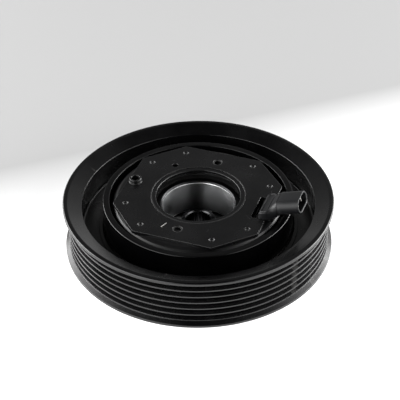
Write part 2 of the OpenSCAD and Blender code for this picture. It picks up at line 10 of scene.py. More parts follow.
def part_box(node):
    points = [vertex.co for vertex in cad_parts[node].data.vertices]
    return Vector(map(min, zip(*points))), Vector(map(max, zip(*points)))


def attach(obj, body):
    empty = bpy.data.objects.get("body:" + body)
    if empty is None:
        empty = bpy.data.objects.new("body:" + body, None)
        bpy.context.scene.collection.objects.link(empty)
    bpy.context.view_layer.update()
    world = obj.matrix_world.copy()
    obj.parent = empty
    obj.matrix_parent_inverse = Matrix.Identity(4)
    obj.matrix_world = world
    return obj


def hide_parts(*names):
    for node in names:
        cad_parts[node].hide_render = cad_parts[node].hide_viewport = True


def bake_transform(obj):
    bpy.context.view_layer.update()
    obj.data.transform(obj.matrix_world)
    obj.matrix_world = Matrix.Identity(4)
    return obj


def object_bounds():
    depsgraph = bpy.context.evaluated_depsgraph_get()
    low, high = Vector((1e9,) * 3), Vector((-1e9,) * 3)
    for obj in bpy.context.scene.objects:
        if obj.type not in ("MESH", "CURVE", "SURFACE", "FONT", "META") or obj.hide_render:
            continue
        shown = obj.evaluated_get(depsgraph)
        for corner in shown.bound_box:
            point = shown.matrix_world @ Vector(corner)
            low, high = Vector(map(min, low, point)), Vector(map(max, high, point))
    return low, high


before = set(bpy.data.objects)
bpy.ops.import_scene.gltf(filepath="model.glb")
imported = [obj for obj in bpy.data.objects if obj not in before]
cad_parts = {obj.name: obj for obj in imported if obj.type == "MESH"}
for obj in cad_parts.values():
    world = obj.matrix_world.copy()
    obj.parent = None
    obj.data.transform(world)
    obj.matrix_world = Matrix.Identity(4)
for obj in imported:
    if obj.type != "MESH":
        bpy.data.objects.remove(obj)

cad_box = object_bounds()

# Outlines and sections are worked out in millimetres and made into meshes in metres
MM = 0.001
RIM_ROUND = 320           # faces around the rim
ROUND = 256               # faces around a large turned part
MIDDLE_ROUND = 192        # faces around a bore or a seal
SMALL_ROUND = 64          # faces around a bush or a fixing hole
TINY_ROUND = 40           # faces around a rivet hole
SLAB_BORDER = 0.25        # flat strip between a plate's rounded edge and its filled face
SHARP = radians(38)
LEVEL = 0.9999            # faces more level than this are shaded flat


def span(name):
    """Lowest and highest corner of a CAD node, in millimetres."""
    low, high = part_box(name)
    return Vector(low) / MM, Vector(high) / MM


# ---------- Sizes from the frame ----------

RIM_LOW, RIM_HIGH = span("pulley_rim")
WEB_LOW, WEB_HIGH = span("pulley_web")
WALL_LOW, WALL_HIGH = span("rotor_wall")
SEAT_LOW, SEAT_HIGH = span("bearing_seat")
INNER_LOW, INNER_HIGH = span("bearing_inner_ring")
OUTER_LOW, OUTER_HIGH = span("bearing_outer_ring")
PLATE_LOW, PLATE_HIGH = span("mounting_plate")
BUSH_LOW, BUSH_HIGH = span("locating_bush")
ELBOW_LOW, ELBOW_HIGH = span("connector_elbow")
BARREL_LOW, BARREL_HIGH = span("connector_barrel")
FLANGE_LOW, FLANGE_HIGH = span("hub_flange")
LEAF_LOW, LEAF_HIGH = span("leaf_springs")
ARMATURE_LOW, ARMATURE_HIGH = span("armature_plate")

# ---------- Sizes that the frame's boxes don't give, in millimetres ----------

# Pulley
CREST_R = 64.3
GROOVES = 6
PITCH = 3.56
GROOVE_DEPTH = 3.0
CREST_W = 0.75
FLANK = radians(20)
FLANGE_RISE = 1.3
FLANGE_ROUND = 0.8
RIM_INNER_R = 57.8
FACE_INNER_R = 57.2
FACE_LAND = 1.4
DISH_DROP = 3.1
WEB_FILLET = 1.4
WELD = 0.9
COLLAR_R = 49.4
COLLAR_H = 0.5
FRONT_CHAMFER = 1.6
# Rotor and bearing
POLE_T = 3.2
LIP_INNER_R = 26.4
NOSE_R = 29.6
NOSE_SHOULDER_Z = 6.5
RING_SEAT_R = 28.5
RING_SEAT_Z = (22.65, 23.95)
WIRE_D = 0.6
BORE_R = 17.5
BORE_CHAMFER = 0.9
TRACK_R = 2.8
TRACK_MID_R = 22.5
TRACK_DZ = 3.9
OUTER_LAND_R = 24.1
SEAL_DEPTH = 1.4
# Mounting plate
FLAT_DIAGONAL = 40.2
PILOT_R = 20.7
COINED_R = 23.1
COINED_DEPTH = 0.25
COINED_STEP = 0.65
FIXING_Y = 28.8
FIXING_R = 1.7
SINK_R = 2.3
SINK_DEPTH = 0.35
GAUGE_R = 1.5
GAUGE_AT = (27.4, radians(135))
NOTCH_X = 29.7
NOTCH_W = 17.2
RIVET_R = 1.5
RIVET_RING_R = 1.08
RIVET_RING_HALF = 0.34
RIVET_RING_DEPTH = 0.27
RIVET_CIRCLE_R = 36.0
RIVET_ANGLES = [quarter + side for quarter in (0, 90, 180, 270) for side in (-30, 30)]
PLATE_EDGE = 0.16
BUSH_R = 3.0
BUSH_HOLE_R = 2.0
# Connector
SEAM_X = 42.0
SEAM_Z = 32.7
TILT = radians(18)
BARREL_W = 13.4
BARREL_H = 7.3
BARREL_LEN = 11.4
SOCKET_WALL = 1.0
SOCKET_DEPTH = 8.6
SEAM_GROOVE = 0.34
ELBOW_W = 16.6
PANEL_BEAD_R = 0.34
PIN_H = 2.4
PIN_T = 0.8
PIN_Y = 2.5
PIN_TAIL = 3.2
PIN_RECESS = 1.6
# Hub and armature
ARMS = 3
ARM_FIRST = radians(90)
ARM_ANGLES = [ARM_FIRST + k * tau / ARMS for k in range(ARMS)]
SCALLOP_R = 17.0
SCALLOP_AT = 38.0
PULLER_R = 1.6
PULLER_AT = 15.6
BOSS_R = 8.6
HUB_RIVET_AT = 20.5
ARM_RIVET_AT = 38.0
LEAF_SWEEP = radians(55)
LEAF_W = 11.0
SHANK_R = 2.0
HEAD_R = 3.2
STAMPED_EDGE = 0.3
ARMATURE_INNER_R = 30.5
FLUX_SLOT_W = 2.4
FLUX_SLOT_SPAN = radians(58)


# ---------- Outlines ----------

def rounded(corners, steps=5):
    """Outline through corners (x, y, radius), with an arc at each corner that has a radius."""
    points = []
    for i, (x, y, radius) in enumerate(corners):
        here = Vector((x, y))
        if radius <= 0:
            points.append(here)
            continue
        back = Vector(corners[i - 1][:2]) - here
        ahead = Vector(corners[(i + 1) % len(corners)][:2]) - here
        slope = tan(back.angle(ahead) / 2)
        reach = min(radius / slope, 0.49 * back.length, 0.49 * ahead.length)
        start = here + back.normalized() * reach
        end = here + ahead.normalized() * reach
        middle = (back.normalized() + ahead.normalized()).normalized()
        centre = here + middle * hypot(reach, reach * slope)
        points += sweep(start - centre, end - centre, centre, steps)
    return points


def sweep(first, last, centre, steps):
    """Points of the arc about a centre from one spoke to another."""
    angle = first.angle(last)
    return [centre + (first * sin((1 - k / steps) * angle) + last * sin(k / steps * angle))
            / sin(angle) for k in range(steps + 1)]


def hole(radius, at=(0, 0), count=SMALL_ROUND):
    """Points around a hole, clockwise."""
    return [Vector((at[0] + radius * cos(-tau * k / count), at[1] + radius * sin(-tau * k / count)))
            for k in range(count)]


def polar(radius, angle):
    """A point in the plane from its radius and angle."""
    return Vector((radius * cos(angle), radius * sin(angle)))


def arc(centre, radius, first, last, steps):
    """Points along an arc given by its angles."""
    return [Vector(centre) + polar(radius, first + (last - first) * k / steps) for k in range(steps + 1)]


def inset(loop, distance):
    """The loop moved into the material on its left."""
    shifted = []
    for i, here in enumerate(loop):
        back = (here - loop[i - 1]).normalized()
        ahead = (loop[(i + 1) % len(loop)] - here).normalized()
        normal_back = Vector((-back.y, back.x))
        normal_ahead = Vector((-ahead.y, ahead.x))
        shifted.append(here + (normal_back + normal_ahead) / (1 + normal_back.dot(normal_ahead)) * distance)
    return shifted


# ---------- Shells: lists of vertices in millimetres and of faces ----------

def turned(outline, count=ROUND, at=(0, 0), closed=True):
    """Turned about a vertical axis: a ring from a closed outline of (radius, height), or from an open
    outline a solid with a flat face at each end."""
    verts = []
    for k in range(count):
        angle = tau * k / count
        verts += [(at[0] + r * cos(angle), at[1] + r * sin(angle), z) for r, z in outline]
    n = len(outline)
    faces = [(k * n + j, (k + 1) % count * n + j, (k + 1) % count * n + (j + 1) % n, k * n + (j + 1) % n)
             for k in range(count) for j in range(n if closed else n - 1)]
    if not closed:
        faces.append(tuple(k * n for k in reversed(range(count))))
        faces.append(tuple(k * n + n - 1 for k in range(count)))
    return verts, faces


def slab(loops, low, high, edge, steps=3):
    """Rounded edges of a flat plate, whose faces are filled later; the first loop is its outside."""
    border = edge + SLAB_BORDER
    levels = [(border, low)] + [(edge * (1 - sin(t)), low + edge * (1 - cos(t)))
                                for t in [k / steps * pi / 2 for k in range(steps + 1)]]
    levels += [(back, low + high - z) for back, z in reversed(levels)]
    verts = []
    faces = []
    for loop in loops:
        first = len(verts)
        n = len(loop)
        for back, z in levels:
            verts += [(p.x, p.y, z) for p in inset(loop, back)]
        for j in range(len(levels) - 1):
            for i in range(n):
                a = first + j * n
                b = a + n
                faces.append((a + i, a + (i + 1) % n, b + (i + 1) % n, b + i))
    return verts, faces


def loft(sections):
    """Closed skin over sections that have the same number of points."""
    verts = [tuple(p) for section in sections for p in section]
    n = len(sections[0])
    faces = [(k * n + i, k * n + (i + 1) % n, (k + 1) * n + (i + 1) % n, (k + 1) * n + i)
             for k in range(len(sections) - 1) for i in range(n)]
    faces.append(tuple(reversed(range(n))))
    faces.append(tuple((len(sections) - 1) * n + i for i in range(n)))
    return verts, faces


def placed(name, data):
    """A new object in the scene."""
    obj = bpy.data.objects.new(name, data)
    bpy.context.scene.collection.objects.link(obj)
    return obj


def piece(name, body, shells, material, *nodes):
    """One object from shells, shaded smooth between its sharp edges, that stands for CAD nodes."""
    mesh = bpy.data.meshes.new(name)
    verts = []
    faces = []
    for shell_verts, shell_faces in shells:
        first = len(verts)
        verts += [tuple(c * MM for c in v) for v in shell_verts]
        faces += [tuple(first + i for i in face) for face in shell_faces]
    mesh.from_pydata(verts, [], faces)
    work = bmesh.new()
    work.from_mesh(mesh)
    open_edges = [e for e in work.edges if e.is_boundary]
    for height in {round(e.verts[0].co.z, 7) for e in open_edges}:
        level = [e for e in open_edges if abs(e.verts[0].co.z - height) < 1e-6]
        bmesh.ops.triangle_fill(work, edges=level, use_beauty=True)
    bmesh.ops.recalc_face_normals(work, faces=work.faces)
    work.to_mesh(mesh)
    work.free()
    mesh.materials.append(material)
    for face in mesh.polygons:
        face.use_smooth = abs(face.normal.z) < LEVEL
    mesh.set_sharp_from_angle(angle=SHARP)
    obj = placed(name, mesh)
    weighted = obj.modifiers.new("flat faces stay flat", "WEIGHTED_NORMAL")
    weighted.keep_sharp = True
    if body:
        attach(obj, body)
    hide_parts(*nodes)
    return obj


# ---------- Material building blocks ----------

def new_material(name, metallic=0.0, **uniform):
    """A new material with a Principled shader; uniform values go on the shader's own sockets."""
    material = bpy.data.materials.new(name)
    material.use_nodes = True
    tree = material.node_tree
    tree.nodes.clear()
    output = tree.nodes.new("ShaderNodeOutputMaterial")
    shader = tree.nodes.new("ShaderNodeBsdfPrincipled")
    tree.links.new(shader.outputs["BSDF"], output.inputs["Surface"])
    shader.inputs["Metallic"].default_value = metallic
    for socket, value in uniform.items():
        shader.inputs[socket.replace("_", " ")].default_value = value
    return material, tree, shader


def node(tree, kind, inputs, output=0, **settings):
    """One output of a new node; its inputs are values or other nodes' outputs."""
    made = tree.nodes.new("ShaderNode" + kind)
    for name, value in settings.items():
        setattr(made, name, value)
    for name, value in inputs.items():
        socket = made.inputs[name]
        if isinstance(value, bpy.types.NodeSocket):
            tree.links.new(value, socket)
        elif socket.type == "RGBA":
            socket.default_value = (*value, 1.0)
        else:
            socket.default_value = value
    return made.outputs[output]


def maths(tree, operation, a, b=0.0, clamp=False):
    """Result of one sum."""
    return node(tree, "Math", {0: a, 1: b}, operation=operation, use_clamp=clamp)


def times(tree, a, b):
    """Product of two values."""
    return maths(tree, "MULTIPLY", a, b)


def vectors(tree, operation, a, b=(0, 0, 0)):
    """Result of one sum of vectors."""
    second = "Scale" if operation == "SCALE" else 1
    result = "Value" if operation in ("DOT_PRODUCT", "DISTANCE", "LENGTH") else "Vector"
    return node(tree, "VectorMath", {0: a, second: b}, result, operation=operation)


def flattened(tree, vector):
    """The level part of a vector."""
    return vectors(tree, "MULTIPLY", vector, (1, 1, 0))


def height_of(tree, vector):
    """The upright part of a vector."""
    return node(tree, "SeparateXYZ", {"Vector": vector}, "Z")


def place(tree, stretch=(1, 1, 1)):
    """Coordinates on the object in metres, stretched along each axis."""
    return node(tree, "Mapping", {"Vector": node(tree, "TexCoord", {}, "Object"), "Scale": stretch})


def turned_place(tree, across, around=40.0):
    """Coordinates that vary fast across turning marks and slowly around the axis."""
    at = place(tree)
    flat = flattened(tree, at)
    wide = vectors(tree, "SCALE", vectors(tree, "NORMALIZE", flat), around / across)
    fast = maths(tree, "ADD", vectors(tree, "LENGTH", flat), height_of(tree, at))
    lift = node(tree, "CombineXYZ", {"Z": fast})
    return vectors(tree, "SCALE", vectors(tree, "ADD", lift, wide), across)


def noise(tree, scale, vector=None, detail=3.0):
    """Grey noise of a scale in waves per metre."""
    inputs = {"Vector": vector or place(tree), "Scale": scale, "Detail": detail, "Roughness": 0.55}
    return node(tree, "TexNoise", inputs)


def spread(tree, value, low, high, start_at=0.3, end_at=0.7):
    """A value carried from one range to another, and kept inside it."""
    return node(tree, "MapRange", {"Value": value, "From Min": start_at, "From Max": end_at,
                                   "To Min": low, "To Max": high})


def uneven(tree, cloud, low, high, grain, swing):
    """Roughness that drifts with a cloud and flickers with a grain."""
    return maths(tree, "ADD", spread(tree, cloud, low, high), spread(tree, grain, -swing, swing))


def mix(tree, factor, first, second):
    """Colour between two colours."""
    return node(tree, "Mix", {0: factor, 6: first, 7: second}, 2, data_type="RGBA")


def mottled(tree, cloud, first, second):
    """Patches of two colours."""
    return mix(tree, spread(tree, cloud, 0.0, 1.0), first, second)


def bump(tree, height, depth_mm, below=None):
    """Relief of a depth in millimetres, laid over another relief."""
    inputs = {"Height": height, "Distance": depth_mm * MM, "Strength": 1.0}
    if below is not None:
        inputs["Normal"] = below
    return node(tree, "Bump", inputs)


def facing_up(tree):
    """1 on a face that looks up, 0 on a wall and -1 on a face that looks down."""
    return height_of(tree, node(tree, "NewGeometry", {}, "Normal"))


def tilt(tree):
    """How far a face looks up or down: 0 on a wall, 1 on a level face."""
    return maths(tree, "ABSOLUTE", facing_up(tree))


def edge_wear_and_highlight(tree, low=0.53, high=0.60, walls=1.0):
    """1 on convex edges and 0 elsewhere, broken up by noise; never on level faces, and less on walls."""
    pointed = node(tree, "NewGeometry", {}, "Pointiness")
    slope = tilt(tree)
    sloping = spread(tree, slope, 1.0, 0.0, 0.96, 0.99)
    sloping = times(tree, sloping, spread(tree, slope, walls, 1.0, 0.05, 0.25))
    edge = times(tree, spread(tree, pointed, 0.0, 1.0, low, high), sloping)
    return times(tree, edge, spread(tree, noise(tree, 900.0), 0.25, 1.0))


def dust(tree, amount):
    """Sparse specks on faces that look up."""
    up = spread(tree, facing_up(tree), 0.0, 1.0, 0.5, 0.9)
    specks = spread(tree, noise(tree, 2600.0, detail=1.0), 0.0, 1.0, 0.72, 0.80)
    patches = spread(tree, noise(tree, 130.0), 0.2, 1.0)
    return times(tree, times(tree, specks, patches), times(tree, up, amount))


def connect(tree, shader, colour=None, roughness=None, normal=None):
    """Links what varies over the surface to the shader."""
    for socket, value in (("Base Color", colour), ("Roughness", roughness), ("Normal", normal)):
        if value is not None:
            tree.links.new(value, shader.inputs[socket])


def colour_of(shader):
    """What the shader's colour is linked to."""
    return shader.inputs["Base Color"].links[0].from_socket


# ---------- Materials ----------

def coated(name, dark, light, gloss, peel=0.0004, marks=0.0, specks=0.015, edge_wear_and_highlight_colour=(0.09, 0.088, 0.085),
           wear_and_highlight_from=0.53, wall_wear_and_highlight=1.0, **uniform):
    """Black electrocoat on steel: uneven gloss, orange peel, faint turning marks, edges where the coat is
    worn thin and lightened also as a painted highlight, and dust.
    """
    material, tree, shader = new_material(name, **uniform)
    patches = noise(tree, 55.0, detail=4.0)
    colour = mottled(tree, patches, dark, light)
    edges = edge_wear_and_highlight(tree, wear_and_highlight_from, wear_and_highlight_from + 0.06, wall_wear_and_highlight)
    # Convex edges are lightened: partly worn coat, partly a painted highlight.
    colour = mix(tree, times(tree, edges, 0.5), colour, edge_wear_and_highlight_colour)
    colour = mix(tree, dust(tree, specks), colour, (0.35, 0.34, 0.32))
    fine = noise(tree, 400.0, detail=3.0)
    roughness = uneven(tree, patches, gloss - 0.04, gloss + 0.04, fine, 0.012)
    normal = bump(tree, noise(tree, 600.0, detail=1.0), peel)
    if marks:
        normal = bump(tree, noise(tree, 1.0, turned_place(tree, 2600.0), detail=2.0), marks, normal)
    connect(tree, shader, colour, roughness, normal)
    return material, tree, shader


def pulley_paint():
    return coated("pulley_paint", (0.0009, 0.0009, 0.001), (0.0020, 0.0020, 0.0022), 0.25, marks=0.0004,
                  specks=0.004, wall_wear_and_highlight=0.5)[0]


def rotor_paint():
    return coated("rotor_paint", (0.0005, 0.0005, 0.0006), (0.0011, 0.0011, 0.0012), 0.22, marks=0.0003,
                  specks=0.003, wall_wear_and_highlight=0.0, Specular_IOR_Level=0.36)[0]


def coil_paint():
    return coated("coil_paint", (0.0018, 0.0018, 0.002), (0.0035, 0.0035, 0.0037), 0.31,
                  specks=0.004, edge_wear_and_highlight_colour=(0.006, 0.006, 0.006), Specular_IOR_Level=0.5)[0]


def hub_paint():
    return coated("hub_paint", (0.0025, 0.0025, 0.0028), (0.0045, 0.0045, 0.0048), 0.34)[0]


def plate_paint():
    """The coating of the mounting plate, with one bright scratch and several faint ones."""
    # Its edges are lightened both as wear and as a painted highlight.
    material, tree, shader = coated("plate_paint", (0.0020, 0.0020, 0.0022), (0.0036, 0.0036, 0.0038), 0.26,
                                    specks=0.008, edge_wear_and_highlight_colour=(0.08, 0.08, 0.078), wear_and_highlight_from=0.512, wall_wear_and_highlight=0.0)
    before = colour_of(shader)
    draw = random.Random(7)
    bright = scratch(tree, (-7.93, -29.64), (-6.61, -26.33), 0.22)
    faint = None
    for _ in range(6):
        at = polar(draw.uniform(25, 36), draw.uniform(0, tau))
        end = at + polar(draw.uniform(1.5, 5), draw.uniform(0, tau))
        line = scratch(tree, at, end, 0.07)
        faint = line if faint is None else maths(tree, "MAXIMUM", faint, line)
    colour = mix(tree, times(tree, faint, 0.12), before, (0.3, 0.3, 0.3))
    colour = mix(tree, bright, colour, (0.55, 0.54, 0.52))
    connect(tree, shader, colour)
    return material


def scratch(tree, start_at, end_at, width):
    """1 along a short line on the plate, in millimetres, and 0 away from it."""
    first = Vector((*start_at, 0)) * MM
    run = Vector((*end_at, 0)) * MM - first
    spoke = vectors(tree, "SUBTRACT", flattened(tree, place(tree)), first)
    along = vectors(tree, "DOT_PRODUCT", spoke, run / run.length_squared)
    nearest = vectors(tree, "SCALE", run, maths(tree, "ADD", along, 0.0, clamp=True))
    return spread(tree, vectors(tree, "DISTANCE", spoke, nearest), 1.0, 0.0, width * MM * 0.4, width * MM)


def steel(name, colour, gloss, variation=0.12, marks=0.002, across=4200.0, around=40.0, **uniform):
    """Bare steel with turning or grinding marks around the axis."""
    material, tree, shader = new_material(name, metallic=1.0, **uniform)
    cloud = noise(tree, 90.0, detail=4.0)
    darker = tuple(c * (1 - variation) for c in colour)
    lines = noise(tree, 1.0, turned_place(tree, across, around), detail=3.0)
    base = mottled(tree, cloud, darker, colour)
    base = mix(tree, spread(tree, lines, 0.0, 0.35), base, tuple(c * 0.75 for c in colour))
    roughness = uneven(tree, cloud, gloss - 0.04, gloss + 0.05, lines, 0.03)
    connect(tree, shader, base, roughness, bump(tree, lines, marks))
    return material, tree, shader


def bearing_steel():
    """Ground steel with painted shade on its level faces and towards the lower end of its bore, a painted
    highlight on its chamfer, and a bore that stretches its reflections.
    """
    material, tree, shader = steel("bearing_steel", (0.62, 0.63, 0.64), 0.32, marks=0.001,
                                   Anisotropic_Rotation=0.25)
    # dark is the colour of the painted shade on the level faces and in the bore.
    dark = (0.02, 0.02, 0.021)
    slope = tilt(tree)
    # Painted shade: the bore darkens towards the lower end of the ring.
    painted_bore_shade = spread(tree, height_of(tree, place(tree)), 0.85, 0.0, INNER_LOW.z * MM, INNER_HIGH.z * MM)
    colour = mix(tree, painted_bore_shade, colour_of(shader), dark)
    # Painted highlight: a bright band on the steep part of the chamfer.
    rim = times(tree, spread(tree, slope, 0.0, 1.0, 0.1, 0.2), spread(tree, slope, 1.0, 0.0, 0.5, 0.6))
    colour = mix(tree, rim, colour, (0.92, 0.92, 0.92))
    # Painted shade: the level faces are darkened.
    connect(tree, shader, mix(tree, spread(tree, slope, 0.0, 0.97, 0.5, 0.64), colour, dark))
    tree.links.new(spread(tree, slope, 0.85, 0.0, 0.04, 0.16), shader.inputs["Anisotropic"])
    tangent = node(tree, "Tangent", {}, direction_type="RADIAL", axis="Z")
    tree.links.new(tangent, shader.inputs["Tangent"])
    return material


def ball_steel():
    material, tree, shader = new_material("ball_steel", metallic=1.0)
    cloud = noise(tree, 500.0)
    colour = mix(tree, cloud, (0.62, 0.63, 0.64), (0.74, 0.75, 0.76))
    connect(tree, shader, colour, spread(tree, cloud, 0.08, 0.16), bump(tree, noise(tree, 6000.0), 0.0003))
    return material


def hub_steel():
    """Dark phosphated steel whose chamfers were cut afterwards."""
    material, tree, shader = steel("hub_steel", (0.035, 0.035, 0.037), 0.22, variation=0.35, marks=0.002)
    before = colour_of(shader)
    slope = tilt(tree)
    steep = spread(tree, slope, 0.0, 1.0, 0.45, 0.6)
    cut = times(tree, steep, spread(tree, slope, 1.0, 0.0, 0.8, 0.92))
    connect(tree, shader, mix(tree, cut, before, (0.07, 0.07, 0.072)))
    return material


def armature_steel():
    return steel("armature_steel", (0.20, 0.20, 0.205), 0.42, variation=0.3, marks=0.006, across=2200.0)[0]


def rivet_steel():
    material, tree, shader = new_material("rivet_steel", metallic=1.0)
    cloud = noise(tree, 420.0, detail=4.0)
    colour = mottled(tree, cloud, (0.38, 0.38, 0.38), (0.50, 0.50, 0.49))
    colour = mix(tree, edge_wear_and_highlight(tree), colour, (0.66, 0.66, 0.65))
    connect(tree, shader, colour, spread(tree, cloud, 0.28, 0.42), bump(tree, noise(tree, 1900.0), 0.006))
    return material


def leaf_steel():
    """Rolled spring steel with a long grain."""
    material, tree, shader = new_material("leaf_steel", metallic=1.0)
    grain = noise(tree, 1.0, place(tree, (5200.0, 5200.0, 300.0)), detail=2.0)
    cloud = noise(tree, 130.0, detail=4.0)
    colour = mottled(tree, cloud, (0.22, 0.225, 0.24), (0.31, 0.32, 0.34))
    roughness = uneven(tree, cloud, 0.26, 0.36, grain, 0.04)
    connect(tree, shader, colour, roughness, bump(tree, grain, 0.0015))
    return material


def spring_steel_black():
    return coated("spring_steel_black", (0.02, 0.02, 0.021), (0.04, 0.04, 0.042), 0.45, specks=0.0)[0]


def connector_plastic():
    """Satin moulded nylon: fine eroded texture, faint flow marks and rubbed edges, lightened also as a
    painted highlight.
    """
    material, tree, shader = new_material("connector_plastic", IOR=1.53, Specular_IOR_Level=0.25)
    flow = noise(tree, 1.0, place(tree, (60.0, 240.0, 240.0)), detail=4.0)
    colour = mottled(tree, flow, (0.004, 0.0042, 0.005), (0.007, 0.0072, 0.008))
    # Edges lightened: partly rubbed, partly a painted highlight on convex edges such as the panel's border.
    colour = mix(tree, times(tree, edge_wear_and_highlight(tree), 0.8), colour, (0.10, 0.101, 0.105))
    colour = mix(tree, dust(tree, 0.04), colour, (0.3, 0.29, 0.28))
    grain = noise(tree, 3800.0, detail=3.0)
    roughness = uneven(tree, flow, 0.37, 0.44, grain, 0.03)
    connect(tree, shader, colour, roughness, bump(tree, grain, 0.003))
    return material


def moulded(name, dark, light, gloss, grain_scale=2500.0, grain=0.008):
    """Plain moulded plastic, rubber or resin."""
    material, tree, shader = new_material(name)
    cloud = noise(tree, 160.0, detail=4.0)
    texture = noise(tree, grain_scale, detail=3.0)
    colour = mottled(tree, cloud, dark, light)
    roughness = uneven(tree, cloud, gloss - 0.05, gloss + 0.05, texture, 0.03)
    connect(tree, shader, colour, roughness, bump(tree, texture, grain))
    return material


def bobbin_plastic():
    return moulded("bobbin_plastic", (0.045, 0.042, 0.038), (0.07, 0.065, 0.06), 0.5)


def resin():
    return moulded("resin", (0.010, 0.010, 0.010), (0.02, 0.02, 0.021), 0.2, grain_scale=300.0, grain=0.03)


def lead_insulation():
    return moulded("lead_insulation", (0.26, 0.025, 0.018), (0.34, 0.035, 0.022), 0.5)


def cage_plastic():
    return moulded("cage_plastic", (0.44, 0.36, 0.23), (0.54, 0.46, 0.31), 0.45)


def seal_rubber():
    return moulded("seal_rubber", (0.004, 0.004, 0.004), (0.007, 0.007, 0.007), 0.55)


def tinned_terminal():
    """Tin plate with fine scratches along the blade."""
    material, tree, shader = new_material("tinned_terminal", metallic=1.0)
    cloud = noise(tree, 900.0, detail=4.0)
    scores = noise(tree, 1.0, place(tree, (400.0, 9000.0, 9000.0)), detail=2.0)
    colour = mottled(tree, cloud, (0.50, 0.48, 0.45), (0.68, 0.66, 0.62))
    roughness = uneven(tree, cloud, 0.24, 0.34, scores, 0.04)
    connect(tree, shader, colour, roughness, bump(tree, scores, 0.001))
    return material


def copper_wire():
    """Layers of enamelled wire, wound around the axis."""
    material, tree, shader = new_material("copper_wire", metallic=1.0, Coat_Weight=0.6)
    at = place(tree)
    wave = tau / (WIRE_D * MM)
    rows = maths(tree, "SINE", times(tree, height_of(tree, at), wave))
    layers = maths(tree, "SINE", times(tree, vectors(tree, "LENGTH", flattened(tree, at)), wave))
    wound = times(tree, maths(tree, "ADD", rows, layers), 0.5)
    ridges = spread(tree, wound, 0.0, 1.0, -1.0, 1.0)
    # Painted shade: each wire's colour darkens into the hollows between the wires.
    colour = mix(tree, ridges, (0.35, 0.12, 0.04), (0.76, 0.32, 0.14))
    connect(tree, shader, colour, spread(tree, noise(tree, 300.0), 0.22, 0.34), bump(tree, wound, 0.15))
    return material


def friction_lining():
    """Pressed lining with short metal and fibre flecks."""
    material, tree, shader = new_material("friction_lining")
    flecks = node(tree, "TexVoronoi", {"Vector": place(tree), "Scale": 1700.0}, feature="F1")
    cloud = noise(tree, 350.0, detail=4.0)
    colour = mottled(tree, cloud, (0.07, 0.055, 0.042), (0.11, 0.088, 0.068))
    colour = mix(tree, spread(tree, flecks, 1.0, 0.0, 0.08, 0.16), colour, (0.36, 0.27, 0.14))
    connect(tree, shader, colour, spread(tree, cloud, 0.6, 0.75), bump(tree, flecks, 0.02))
    return material


# ---------- Pieces ----------

def groove_corners():
    """Corners of the belt track, from its front end to its rear end."""
    middle = (RIM_LOW.z + RIM_HIGH.z) / 2
    low = middle - GROOVES * PITCH / 2
    run = GROOVE_DEPTH * tan(FLANK)
    root = CREST_R - GROOVE_DEPTH
    corners = [(RIM_HIGH.x, low - FLANGE_RISE, 0.3), (CREST_R, low, 0.25)]
    for i in range(GROOVES):
        z = low + i * PITCH
        corners += [(CREST_R, z + CREST_W / 2, 0.22), (root, z + CREST_W / 2 + run, 0.3),
                    (root, z + PITCH - CREST_W / 2 - run, 0.3), (CREST_R, z + PITCH - CREST_W / 2, 0.22)]
    high = low + GROOVES * PITCH
    return corners + [(CREST_R, high, 0.25), (RIM_HIGH.x, high + FLANGE_RISE, 0.3)]


def make_pulley(paint):
    """Rim and web in one turned piece."""
    front_r = WEB_HIGH.x
    web_low = WEB_LOW.z + WEB_FILLET
    web_high = WEB_HIGH.z - WEB_FILLET
    collar = web_high + COLLAR_H
    rotor_r = WALL_HIGH.x
    top = RIM_HIGH.z
    outline = rounded(
        [(front_r, FRONT_CHAMFER, 0.4), (front_r + FRONT_CHAMFER, RIM_LOW.z, 0.4),
         (RIM_HIGH.x, RIM_LOW.z, FLANGE_ROUND)]
        + groove_corners()
        + [(RIM_HIGH.x, top, FLANGE_ROUND), (RIM_HIGH.x - FLANGE_ROUND - FACE_LAND, top, 0.8),
           (FACE_INNER_R, top - DISH_DROP, 0.35), (RIM_INNER_R - 0.1, top - DISH_DROP - 5, 2.0),
           (RIM_INNER_R, web_high, WEB_FILLET), (COLLAR_R, web_high, 0.12), (COLLAR_R - 0.05, collar, 0.35),
           (rotor_r + WELD, collar, 0.25), (rotor_r, collar + WELD, 0), (rotor_r, web_low, 0),
           (front_r, web_low, WEB_FILLET)], steps=6)
    piece("pulley", "pulley", [turned(outline, RIM_ROUND)], paint, "pulley_rim", "pulley_web")


def make_rotor_wall(paint):
    """Outer pole wall of the rotor, with a softly broken upper edge."""
    low = WALL_LOW.z
    high = WALL_HIGH.z
    outer = WALL_HIGH.x
    inner = outer - POLE_T
    outline = rounded([(inner, low, 0), (outer, low, 0), (outer, high, 0.45), (inner, high, 0.35)])
    piece("rotor_wall_turned", "pulley", [turned(outline)], paint, "rotor_wall")


def make_bearing_seat(paint):
    """Tube that holds the bearing, with its front lip and the snap ring's groove."""
    tube_r = SEAT_HIGH.x
    bearing_r = OUTER_HIGH.x
    low, high = RING_SEAT_Z
    outline = rounded(
        [(LIP_INNER_R, SEAT_LOW.z, 0.2), (NOSE_R, SEAT_LOW.z, 0.3), (NOSE_R, NOSE_SHOULDER_Z, 0),
         (tube_r, NOSE_SHOULDER_Z, 0), (tube_r, SEAT_HIGH.z, 0.3), (bearing_r, SEAT_HIGH.z, 0.3),
         (bearing_r, high, 0.05), (RING_SEAT_R, high, 0.05), (RING_SEAT_R, low, 0.05), (bearing_r, low, 0.05),
         (bearing_r, INNER_LOW.z, 0), (LIP_INNER_R, INNER_LOW.z, 0.1)])
    piece("bearing_seat_turned", "pulley", [turned(outline)], paint, "bearing_seat")


